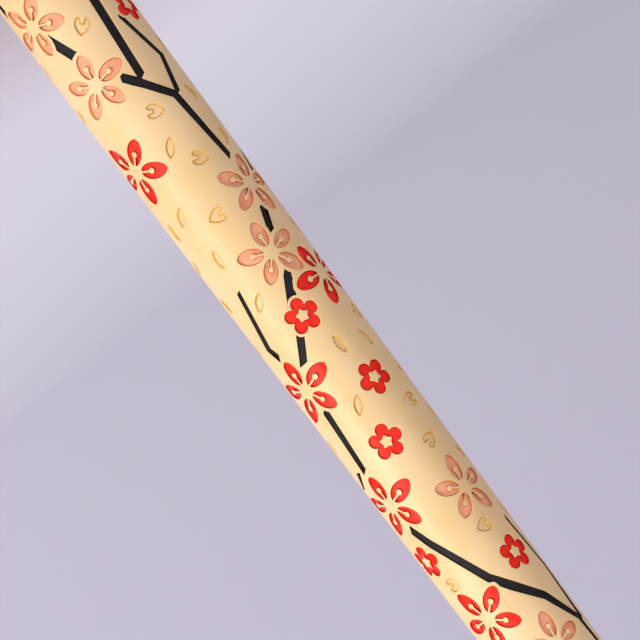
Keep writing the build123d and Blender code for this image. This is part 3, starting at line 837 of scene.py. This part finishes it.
def split_bamboo_material(name, outward, start_r, start_z, joints):
    """Split bamboo, planed and rubbed: pale fibres along the bar, and a dark ring at each joint.

    Along is r sin(lean) times 1 for a rib or -1 for a stretcher, minus z cos(lean). Across is the
    radius times the angle from the nearest bar's middle. Rising is r cos(lean) with z sin(lean).
    A fibre is 0.4 mm wide and 60 mm long, a cloud 6 by 80 mm. Joints are metres from the start.
    """
    material, tree, shader, spot = new_material(name, {"Roughness": 0.42})
    parts = add_node(tree, "ShaderNodeSeparateXYZ", links={"Vector": spot})
    flat = add_node(tree, "ShaderNodeVectorMath", {"operation": "MULTIPLY", 1: (1, 1, 0)}, {0: spot})
    radius = add_node(tree, "ShaderNodeVectorMath", {"operation": "LENGTH"}, {0: flat.outputs[0]})
    angle = add_node(tree, "ShaderNodeMath", {"operation": "ARCTAN2"},
                     {0: parts.outputs["Y"], 1: parts.outputs["X"]})
    half_on = add_node(tree, "ShaderNodeMath", {"operation": "ADD", 1: RIB_STEP / 2},
                       {0: angle.outputs[0]})
    nearest = add_node(tree, "ShaderNodeMath", {"operation": "SNAP", 1: RIB_STEP},
                       {0: half_on.outputs[0]})
    off = add_node(tree, "ShaderNodeMath", {"operation": "SUBTRACT"},
                   {0: angle.outputs[0], 1: nearest.outputs[0]})
    across = add_node(tree, "ShaderNodeMath", {"operation": "MULTIPLY"},
                      {0: off.outputs[0], 1: radius.outputs["Value"]})
    down = add_node(tree, "ShaderNodeMath", {"operation": "MULTIPLY", 1: -math.cos(LEAN)},
                    {0: parts.outputs["Z"]})
    along = add_node(tree, "ShaderNodeMath", {"operation": "MULTIPLY_ADD",
                                              1: outward * math.sin(LEAN)},
                     {0: radius.outputs["Value"], 2: down.outputs[0]})
    level = add_node(tree, "ShaderNodeMath", {"operation": "MULTIPLY", 1: math.sin(LEAN)},
                     {0: parts.outputs["Z"]})
    rising = add_node(tree, "ShaderNodeMath", {"operation": "MULTIPLY_ADD",
                                               1: outward * math.cos(LEAN)},
                      {0: radius.outputs["Value"], 2: level.outputs[0]})
    bar = add_node(tree, "ShaderNodeCombineXYZ", links={"X": along.outputs[0], "Y": across.outputs[0],
                                                        "Z": rising.outputs[0]})
    apart = add_node(tree, "ShaderNodeVectorMath", {"operation": "MULTIPLY", 1: (0.37, 0.0, 0.0)},
                     {0: nearest.outputs[0]})
    own = add_node(tree, "ShaderNodeVectorMath", {"operation": "ADD"},
                   {0: bar.outputs[0], 1: apart.outputs[0]})
    drawn = add_node(tree, "ShaderNodeMapping", {"Scale": (16.0, 2600.0, 2600.0)},
                     {"Vector": own.outputs[0]})
    fibre = add_node(tree, "ShaderNodeTexNoise", {"Scale": 1.0, "Detail": 4.0},
                     {"Vector": drawn.outputs["Vector"]})
    wide = add_node(tree, "ShaderNodeMapping", {"Scale": (12.0, 160.0, 160.0)},
                    {"Vector": own.outputs[0]})
    cloud = add_node(tree, "ShaderNodeTexNoise", {"Scale": 1.0, "Detail": 3.0},
                     {"Vector": wide.outputs["Vector"]})
    both = add_node(tree, "ShaderNodeMath", {"operation": "MULTIPLY_ADD", 1: 0.6},
                    {0: fibre.outputs["Fac"], 2: cloud.outputs["Fac"]})
    stops = [(0.6, "#A87B42"), (0.78, "#CFA566"), (0.95, "#E2C48C")]
    tone = add_node(tree, "ShaderNodeValToRGB", {"stops": stops}, {"Fac": both.outputs[0]})
    ring_stops = [(0.0, "#FFFFFF")]
    for place in joints:
        ring_stops += [(place - 0.004, "#FFFFFF"), (place - 0.0015, "#B08A58"), (place, "#5A3A1C"),
                       (place + 0.0015, "#C4A06C"), (place + 0.004, "#FFFFFF")]
    start = outward * start_r * math.sin(LEAN) - start_z * math.cos(LEAN)
    from_end = add_node(tree, "ShaderNodeMath", {"operation": "SUBTRACT", 1: start * MM},
                        {0: along.outputs[0]})
    ring = add_node(tree, "ShaderNodeValToRGB", {"stops": ring_stops}, {"Fac": from_end.outputs[0]})
    ringed = add_node(tree, "ShaderNodeMix", {"data_type": "RGBA", "blend_type": "MULTIPLY", 0: 1.0},
                      {6: tone.outputs["Color"], 7: ring.outputs["Color"]})
    tree.links.new(ringed.outputs[2], shader.inputs["Base Color"])
    bump = add_node(tree, "ShaderNodeBump", {"Strength": 0.35, "Distance": 0.0001},
                    {"Height": fibre.outputs["Fac"]})
    swell = add_node(tree, "ShaderNodeBump", {"Strength": 0.6, "Distance": 0.0004},
                     {"Height": ring.outputs["Color"], "Normal": bump.outputs["Normal"]})
    tree.links.new(swell.outputs["Normal"], shader.inputs["Normal"])
    return material


rib_wood = split_bamboo_material("split_bamboo_rib", 1.0, 0.0, HUB_Z, [0.098, 0.273, 0.425])
stretcher_wood = split_bamboo_material("split_bamboo_stretcher", -1.0, PEG_R, PEG_Z, [0.082])
rib_names = [f"{number:02d}" for number in range(1, 25)]
for name in rib_names:
    finish_node("rib_" + name, rib_wood)
    finish_node("stretcher_" + name, stretcher_wood)
finish_node("latch", bamboo_skin_material("smoked_bamboo_leaf", "#5E3A1C", "#87572C", "#A87442"))


# ---------------------------------------------------------------- thread web
# Dyed threads are strung by hand between neighbouring stretchers as a lozenge net, which keeps them
# evenly apart. Each piece is one stretcher's share, out to half way, and gathers in as it folds.

WEB_FIRST, WEB_LAST = 58.0, 128.0    # from the stretcher's peg
WEB_ROWS = 9
WEB_THREAD_R = 0.32


def stretcher_point(reach, angle):
    """A point on the line of the stretcher at that angle, reach being its distance from the peg."""
    radius = PEG_R - reach * math.sin(LEAN)
    return np.stack([radius * np.cos(angle), radius * np.sin(angle), PEG_Z - reach * math.cos(LEAN)], -1)


def tubes(starts, ends, radius, sides=6):
    """Straight closed tubes between pairs of points, each ring made of two directions square to it."""
    run = ends - starts
    run = run / np.linalg.norm(run, axis=1, keepdims=True)
    first = np.cross(run, (0.0, 0.0, 1.0))
    first /= np.linalg.norm(first, axis=1, keepdims=True)
    second = np.cross(run, first)
    b = np.arange(sides) * 2 * math.pi / sides
    ring = np.cos(b)[:, None] * first[:, None] + np.sin(b)[:, None] * second[:, None]
    verts = np.concatenate([starts[:, None] + radius * ring, ends[:, None] + radius * ring], 1)
    side = np.arange(sides)
    quad = np.stack([side, (side + 1) % sides, (side + 1) % sides + sides, side + sides], -1)
    base = np.arange(len(starts))[:, None, None] * 2 * sides
    faces = (quad[None] + base).reshape(-1, 4).tolist()
    for cap in (side[::-1], side + sides):
        faces += (cap[None] + np.arange(len(starts))[:, None] * 2 * sides).tolist()
    return verts.reshape(-1, 3), faces


def web_share(angle):
    """Threads from each station on one stretcher to the points half way to both neighbours.

    A thread goes from its station to the next or the last station of the neighbour, so half way
    over it is half a station on. The two outer edges are straight threads round the umbrella.
    """
    station = np.linspace(WEB_FIRST, WEB_LAST, WEB_ROWS)
    half_gap = (station[1] - station[0]) / 2
    starts, ends, dyes = [], [], []
    for side in (-1, 1):
        for shift in (-1, 1):
            keep = (station + shift * half_gap > WEB_FIRST) & (station + shift * half_gap < WEB_LAST)
            near = stretcher_point(station[keep], angle)
            over = station[keep] + 2 * shift * half_gap
            far = stretcher_point(over, angle + side * RIB_STEP)
            starts.append(near)
            ends.append((near + far) / 2)
            dyes.append(np.where(keep)[0] + (shift + 1) // 2)
        edge = np.array([WEB_FIRST, WEB_LAST])
        near = stretcher_point(edge, angle)
        far = stretcher_point(edge, angle + side * RIB_STEP)
        starts.append(near)
        ends.append((near + far) / 2)
        dyes.append(np.array([0, WEB_ROWS]))
    verts, faces = tubes(np.vstack(starts), np.vstack(ends), WEB_THREAD_R)
    dye = np.concatenate(dyes) % 3
    return verts, faces, np.concatenate([np.repeat(dye, 6), dye, dye])


web_dyes = [thread_material("red_dyed_thread", "#C8241E", "#94140F"),
            thread_material("pink_dyed_thread", "#EBA391", "#CC7F6C"),
            thread_material("gold_dyed_thread", "#D9A441", "#AF7F28")]
for number, name in enumerate(rib_names):
    angle = number * RIB_STEP
    verts, faces, dye = web_share(angle)
    share = make_mesh("thread_web_" + name, verts, faces, web_dyes, dye)
    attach(share, "stretcher_" + name)
    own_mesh(share)


# ---------------------------------------------------------------- canopy
# Handmade mulberry paper, pasted over the ribs, printed with the handle's own blossoms, and oiled
# until light comes through. It dips a little between the ribs, and a red band is pasted at its hem.

PAPER_HALF = 0.15            # half of the sheet's thickness
PAPER_OVER_RIB = 2.625       # from a rib's middle line to the sheet's middle
PAPER_SAG = 1.8              # the dip half way between two ribs, at the hem
PAPER_FROM_R = 22.5
PAPER_INSET = 0.35           # the hem stays this far inside the plain canopy solid
HEM_BAND = 9.0
PRINT_SCALE = 4.4            # the blossoms are this much larger than on the handle
PRINT_ROUND = 12             # gores after which the print repeats
PRINT_NEAR = 1.5             # a strip takes prints this many gores to each side
STRIP_ROWS, STRIP_COLUMNS = 42, 9
GORE = 2 * math.asin(math.sin(RIB_STEP / 2) * math.sin(LEAN))
APEX_Z = HUB_Z + PAPER_OVER_RIB / math.sin(LEAN) + PIVOT_R / math.tan(LEAN)
PAPER_NEAR = PAPER_FROM_R / math.sin(LEAN)
PAPER_FAR = (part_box("canopy_paper")[1][0] / MM - PAPER_INSET) / math.sin(LEAN)
PRINT_PAPER, PRINT_RED, PRINT_PINK, PRINT_BLACK, PRINT_BAND = range(5)
INNER_FACE = 5               # an inner face's shade is its outer face's number and this

# Printed motifs on the unrolled paper: distance from its apex in mm, angle in gores, turn, kind.
PRINTED = [
    (372, 0.6, 10, PINK), (300, 1.7, 50, RED), (402, 2.5, 95, RED), (228, 2.4, 20, PINK),
    (352, 3.6, 35, PINK), (160, 0.9, 60, RED), (415, 4.7, 5, PINK), (262, 4.4, 80, RED),
    (335, 5.6, 110, RED), (190, 5.9, 30, PINK), (408, 6.8, 62, PINK), (282, 7.1, 15, PINK),
    (376, 8.2, 44, RED), (205, 8.1, 88, RED), (318, 9.4, 70, PINK), (418, 9.9, 20, RED),
    (238, 10.2, 50, PINK), (366, 11.2, 100, PINK),
]
PRINTED_PLUMS = [(330, 0.1, 0), (248, 1.1, 40), (428, 1.5, 10), (355, 2.6, 70), (290, 3.3, 25),
                 (432, 3.7, 55), (205, 3.6, 5), (308, 5.1, 30), (392, 5.7, 80), (240, 6.5, 15),
                 (345, 7.3, 60), (430, 7.8, 35), (260, 8.9, 20), (370, 9.3, 50), (290, 10.9, 75),
                 (425, 11.0, 5)]
PRINTED_PETALS = [(268, 0.3, 20), (200, 1.8, -40), (352, 1.2, 60), (420, 0.3, -20), (320, 2.9, 10),
                  (390, 3.3, -50), (240, 3.1, 70), (300, 4.9, -30), (365, 4.9, 15), (220, 5.2, 50),
                  (420, 6.1, -15), (300, 6.2, 40), (350, 6.6, -60), (215, 7.4, 25), (320, 8.0, -10),
                  (425, 8.7, 55), (250, 9.7, -35), (390, 10.6, 30), (325, 10.3, -45), (200, 11.2, 60)]
PRINTED_BRANCHES = [
    [(452, 0.2, 8.5), (405, 0.45, 7.5), (330, 0.9, 6.5), (262, 1.9, 5.0), (200, 2.3, 3.0)],
    [(330, 0.9, 6.0), (250, 0.5, 4.5), (185, 0.7, 3.0)],
    [(262, 1.9, 4.5), (320, 2.5, 4.5), (388, 2.9, 3.0)],
    [(452, 4.2, 8.5), (390, 4.3, 7.5), (300, 4.1, 6.0), (215, 4.7, 4.0)],
    [(390, 4.3, 6.0), (372, 5.2, 5.0), (300, 5.7, 3.5)],
    [(452, 7.2, 8.5), (396, 7.4, 7.0), (322, 7.5, 6.0), (240, 7.7, 4.5), (185, 7.5, 3.0)],
    [(322, 7.5, 5.5), (290, 8.4, 4.5), (330, 9.0, 3.0)],
    [(452, 10.5, 8.5), (392, 10.1, 7.0), (300, 10.4, 5.5), (215, 10.1, 3.5)],
    [(392, 10.1, 5.5), (372, 10.9, 4.5), (318, 11.5, 3.0)],
]


def on_plan(reach, gores):
    """Where a distance from the apex and an angle counted in gores is on the unrolled paper."""
    return np.stack([reach * np.cos(gores * GORE), reach * np.sin(gores * GORE)], -1)


def fallen_petal(ink, spin, size):
    """One loose lens-shaped petal as (ink, outline)."""
    return [(ink, turned_flat(leaf(), spin, size))]


def printed_shapes(middle):
    """The outlines near the gore strip number middle, in its own plan with its rib along +x.

    Twelve gores repeat twice round the paper. A shape at g gores is turned by g less the strip's.
    """
    motifs = [(cherry, PRINT_RED if kind == RED else PRINT_PINK, *spot) for *spot, kind in PRINTED]
    motifs += [(plum, PRINT_RED, *spot) for spot in PRINTED_PLUMS]
    motifs += [(fallen_petal, PRINT_PINK, *spot) for spot in PRINTED_PETALS]
    repeats = [turn * PRINT_ROUND - middle for turn in (-1, 0, 1, 2)]
    shapes = []
    for motif, ink, reach, gores, spin in motifs:
        for off in [gores + repeat for repeat in repeats if abs(gores + repeat) < PRINT_NEAR]:
            for kind, outline in motif(ink, spin + math.degrees(off * GORE), PRINT_SCALE):
                shapes.append((kind, outline + on_plan(reach, off)))
    for bough in PRINTED_BRANCHES:
        reach, gores, width = np.array(bough).T
        for repeat in repeats:
            off = gores + repeat
            if off.min() < PRINT_NEAR and off.max() > -PRINT_NEAR:
                shapes.append((PRINT_BLACK, banded(on_plan(reach, off), width)))
    return shapes


def strip_plan(middle):
    """Triangles of one strip's plan, with the print of each: a wedge half a gore to each side.

    Its cross rows are straight from the rib to each side, square to the gore's middle line: at an
    angle t from the rib a row is at reach cos(gore / 2) / cos(gore / 2 - t).
    """
    edge = math.tan(GORE / 2)
    band_from = PAPER_FAR - HEM_BAND / math.cos(GORE / 2)
    reach = np.append(np.linspace(PAPER_NEAR, band_from, STRIP_ROWS), PAPER_FAR)
    share = np.linspace(-1, 1, STRIP_COLUMNS)
    grid_reach, grid_share = np.meshgrid(reach, share, indexing="ij")
    angle = grid_share * GORE / 2
    straight = grid_reach * np.cos(GORE / 2) / np.cos(GORE / 2 - np.abs(angle))
    grid = np.stack([straight * np.cos(angle), straight * np.sin(angle)], -1).reshape(-1, 2)
    rows, columns = len(reach), len(share)
    index = np.arange(rows * columns).reshape(rows, columns)
    border = np.concatenate([index[:, 0], index[-1, 1:], index[-2::-1, -1], index[0, -2:0:-1]])
    ridge = np.stack([index[:-1, columns // 2], index[1:, columns // 2]], -1)
    points, faces, kinds = [grid], [border.tolist()], [0]
    count = len(grid)
    for kind, loop in printed_shapes(middle):
        beyond = loop[:, 0] * edge
        if (loop[:, 1] - beyond).min() > 0 or (loop[:, 1] + beyond).max() < 0:
            continue
        points.append(loop)
        faces.append(list(range(count, count + len(loop))))
        kinds.append(kind)
        count += len(loop)
    corners = [Vector((float(a), float(b))) for a, b in np.vstack(points)]
    result = delaunay_2d_cdt(corners, ridge.tolist(), faces, 0, 1e-4)
    flat = np.array([tuple(v) for v in result[0]])
    triangles, print_of, keep = np.array(result[2]), [], []
    for owners in result[5]:
        owned = [kinds[owner] for owner in owners if owner]
        keep.append(0 in owners)
        inks = [k for k in owned if k in (PRINT_RED, PRINT_PINK)]
        if KEEP_OFF in owned:
            print_of.append(PRINT_PAPER)
        elif inks:
            print_of.append(inks[0])
        elif PRINT_BLACK in owned and -KEEP_OFF not in owned:
            print_of.append(PRINT_BLACK)
        else:
            print_of.append(PRINT_PAPER)
    keep, print_of = np.array(keep), np.array(print_of)
    centre = flat[triangles].mean(1)
    to_middle = GORE / 2 - np.abs(np.arctan2(centre[:, 1], centre[:, 0]))
    straight_reach = np.hypot(centre[:, 0], centre[:, 1]) * np.cos(to_middle)
    print_of[straight_reach > PAPER_FAR * math.cos(GORE / 2) - HEM_BAND] = PRINT_BAND
    return flat, triangles[keep], print_of[keep]


def strip_in_place(flat, number, lift):
    """Points and normals of a strip's plan, folded over its rib and lowered by the dip between ribs.

    A point is apex + x u + |y| w - (dip - lift) m: u runs down the rib, w lies in the gore on that
    side and m is the gore's normal. The dip is PAPER_SAG (x / far) sin^4(pi angle / gore).
    """
    def down(turn):
        a = number * RIB_STEP + turn
        return np.array([math.sin(LEAN) * math.cos(a), math.sin(LEAN) * math.sin(a), -math.cos(LEAN)])

    def dip(x, y):
        return PAPER_SAG * x / PAPER_FAR * np.sin(math.pi * np.arctan2(y, x) / GORE) ** 4

    u = down(0.0)
    x, y = flat[:, 0], np.abs(flat[:, 1])
    right_side = (flat[:, 1] > 0)[:, None]
    ways, normals = [], []
    for turn in (-RIB_STEP, RIB_STEP):
        w = down(turn) - u * (u @ down(turn))
        w /= np.linalg.norm(w)
        ways.append(w)
        normals.append(np.cross(u, w) * math.copysign(1.0, turn))
    w = np.where(right_side, ways[1], ways[0])
    m = np.where(right_side, normals[1], normals[0])
    dip_x = (dip(x + 0.5, y) - dip(x - 0.5, y))[:, None]
    dip_y = (dip(x, y + 0.5) - dip(x, y - 0.5))[:, None]
    normal = m + dip_x * u + dip_y * w
    normal /= np.linalg.norm(normal, axis=1, keepdims=True)
    points = (0.0, 0.0, APEX_Z) + x[:, None] * u + y[:, None] * w - (dip(x, y) - lift)[:, None] * m
    return points, normal


def paper_sheet(name, flat, triangles, print_of, placed, materials):
    """A closed sheet from its plan: the triangles above, the same below, and a wall round the edge.

    placed(flat, lift) gives points and normals; the corners take these normals, the wall its own.
    """
    top, normal = placed(flat, PAPER_HALF)
    bottom, _ = placed(flat, -PAPER_HALF)
    size = len(flat)
    edges = triangles[:, [0, 1, 1, 2, 2, 0]].reshape(-1, 2)
    owner = np.repeat(np.arange(len(triangles)), 3)
    code, back = edges[:, 0] * size + edges[:, 1], edges[:, 1] * size + edges[:, 0]
    open_edge = ~np.isin(code, back)
    a, b = edges[open_edge].T
    wall = np.stack([b, a, a + size, b + size], -1)
    faces = triangles.tolist() + (triangles[:, ::-1] + size).tolist() + wall.tolist()
    shades = np.concatenate([print_of, print_of + INNER_FACE, print_of[owner[open_edge]]])
    used = np.zeros(2 * size, bool)
    used[triangles], used[triangles + size] = True, True
    renumbered = np.cumsum(used) - 1
    faces = [[int(renumbered[corner]) for corner in face] for face in faces]
    sheet = make_mesh(name, np.vstack([top, bottom])[used], faces, materials, shades)
    corner_normals = np.vstack([normal[triangles].reshape(-1, 3),
                                -normal[triangles[:, ::-1]].reshape(-1, 3), np.zeros((4 * len(a), 3))])
    sheet.data.normals_split_custom_set(corner_normals.tolist())
    return sheet


def paper_material(name, base, dark, fibre_hex, through):
    """Oiled long-fibred paper: oil clouds, hair-like fibres, a cockled satin face that glows through.

    Clouds are 70 mm across and cockles 26 mm. Fibres are where a strongly bent noise of 14 or 7 mm
    crosses its middle value, drawn wider than real ones so that they show.
    """
    material, tree, shader, spot = new_material(name, {"Roughness": 0.38})
    cloud = add_node(tree, "ShaderNodeTexNoise", {"Scale": 14.0, "Detail": 5.0}, {"Vector": spot})
    tone = add_node(tree, "ShaderNodeValToRGB", {"stops": [(0.32, dark), (0.66, base)]},
                    {"Fac": cloud.outputs["Fac"]})
    colour = tone.outputs["Color"]
    for scale, wide in ((70.0, 0.007), (150.0, 0.010)):
        hair = add_node(tree, "ShaderNodeTexNoise", {"Scale": scale, "Detail": 1.5, "Distortion": 2.2},
                        {"Vector": spot})
        line = add_node(tree, "ShaderNodeMath", {"operation": "COMPARE", 1: 0.5, 2: wide},
                        {0: hair.outputs["Fac"]})
        faint = add_node(tree, "ShaderNodeMath", {"operation": "MULTIPLY", 1: 0.35},
                         {0: line.outputs[0]})
        mixed = add_node(tree, "ShaderNodeMix", {"data_type": "RGBA", 7: linear(fibre_hex)},
                         {0: faint.outputs[0], 6: colour})
        colour = mixed.outputs[2]
    tree.links.new(colour, shader.inputs["Base Color"])
    cockle = add_node(tree, "ShaderNodeTexNoise", {"Scale": 38.0, "Detail": 3.0}, {"Vector": spot})
    bump = add_node(tree, "ShaderNodeBump", {"Strength": 0.35, "Distance": 0.0012},
                    {"Height": cockle.outputs["Fac"]})
    tree.links.new(bump.outputs["Normal"], shader.inputs["Normal"])
    glow = add_node(tree, "ShaderNodeBsdfTranslucent", links={"Color": colour})
    both = add_node(tree, "ShaderNodeMixShader", {0: through},
                    {1: shader.outputs["BSDF"], 2: glow.outputs["BSDF"]})
    tree.links.new(both.outputs["Shader"], tree.nodes["Material Output"].inputs["Surface"])
    return material


paper_shades = [
    paper_material("oiled_mulberry_paper", "#F3DEB4", "#E6C78F", "#FFF2D2", 0.5),
    paper_material("printed_red_on_paper", "#D92A1E", "#C21D15", "#E8604A", 0.3),
    paper_material("printed_pink_on_paper", "#EFA98A", "#E39272", "#F8C9B0", 0.4),
    paper_material("printed_black_on_paper", "#2D2A2E", "#1D1B1F", "#4A464C", 0.1),
    paper_material("red_hem_band_paper", "#A81C16", "#8A120E", "#C4443A", 0.3),
    paper_material("oiled_paper_inner_face", "#EED6A8", "#E0BE84", "#FBEAC4", 0.5),
    paper_material("red_print_seen_through", "#D9694E", "#CB583F", "#E89078", 0.35),
    paper_material("pink_print_seen_through", "#E9B894", "#DFA67E", "#F4CFB2", 0.45),
    paper_material("black_print_seen_through", "#7E6A56", "#6C5946", "#98836C", 0.2),
    paper_material("red_band_inner_face", "#9E221B", "#841711", "#B8493E", 0.3),
]
for number, name in enumerate(rib_names):
    angle = number * RIB_STEP
    flat, triangles, print_of = strip_plan(number)
    strip = paper_sheet("canopy_strip_" + name, flat, triangles, print_of,
                        lambda plan, lift: strip_in_place(plan, number, lift), paper_shades)
    a, b, c = flat[triangles].transpose(1, 0, 2)
    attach(strip, "rib_" + name)
    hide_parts("canopy_paper")
    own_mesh(strip)


# ---------------------------------------------------------------- crown patch
# A round of the same paper, dyed dark red, that is pasted over the strips' upper ends and stays
# with the hub. The crown covers nearly all of it.

PATCH_HOLE_R, PATCH_R = 11.0, 27.0
PATCH_LIFT = 2.91            # its middle, over a rib's middle line
PATCH_HALF = 0.07
PATCH_STEPS = 96


def patch_profile():
    """A thin band on the cone as (radius, height), out along its underside and back along its top."""
    radius = np.array([PATCH_HOLE_R, 16.0, 21.5, PATCH_R])
    middle = HUB_Z + PATCH_LIFT / math.sin(LEAN) - (radius - PIVOT_R) / math.tan(LEAN)
    over = PATCH_HALF / math.sin(LEAN)
    below = np.stack([radius, middle - over], -1)
    above = np.stack([radius, middle + over], -1)[::-1]
    return np.vstack([below, above, below[:1]])


verts, faces = spun(patch_profile(), PATCH_STEPS)
count = len(verts) - PATCH_STEPS     # the profile's last ring is its first again
patch = make_mesh("crown_patch_paper", verts[:count], faces % count, [paper_shades[PRINT_BAND]])
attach(patch, "frame")
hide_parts("canopy_paper")


# ---------------------------------------------------------------- crown and finial
# Turned from one dense wood and built up in many thin coats of lacquer, deep red on the crown and
# black on the finial, each polished until it mirrors the lamps.


def gloss_lacquer_material(name, base, dark):
    """Polished lacquer: a deep colour clouded at 11 mm under a clear coat that waves at 5 mm."""
    finish = {"Roughness": 0.25, "Coat Weight": 1.0, "Coat Roughness": 0.05}
    material, tree, shader, spot = new_material(name, finish)
    depth = add_node(tree, "ShaderNodeTexNoise", {"Scale": 90.0, "Detail": 4.0}, {"Vector": spot})
    tone = add_node(tree, "ShaderNodeValToRGB", {"stops": [(0.3, dark), (0.65, base)]},
                    {"Fac": depth.outputs["Fac"]})
    tree.links.new(tone.outputs["Color"], shader.inputs["Base Color"])
    wave = add_node(tree, "ShaderNodeTexNoise", {"Scale": 220.0, "Detail": 1.0}, {"Vector": spot})
    bump = add_node(tree, "ShaderNodeBump", {"Strength": 0.06, "Distance": 0.0002},
                    {"Height": wave.outputs["Fac"]})
    tree.links.new(bump.outputs["Normal"], shader.inputs["Normal"])
    return material


finish_node("crown", gloss_lacquer_material("red_gloss_lacquer", "#7A0F0D", "#5E0A09"))
finish_node("finial", gloss_lacquer_material("black_gloss_lacquer", "#17130F", "#0C0A09"))
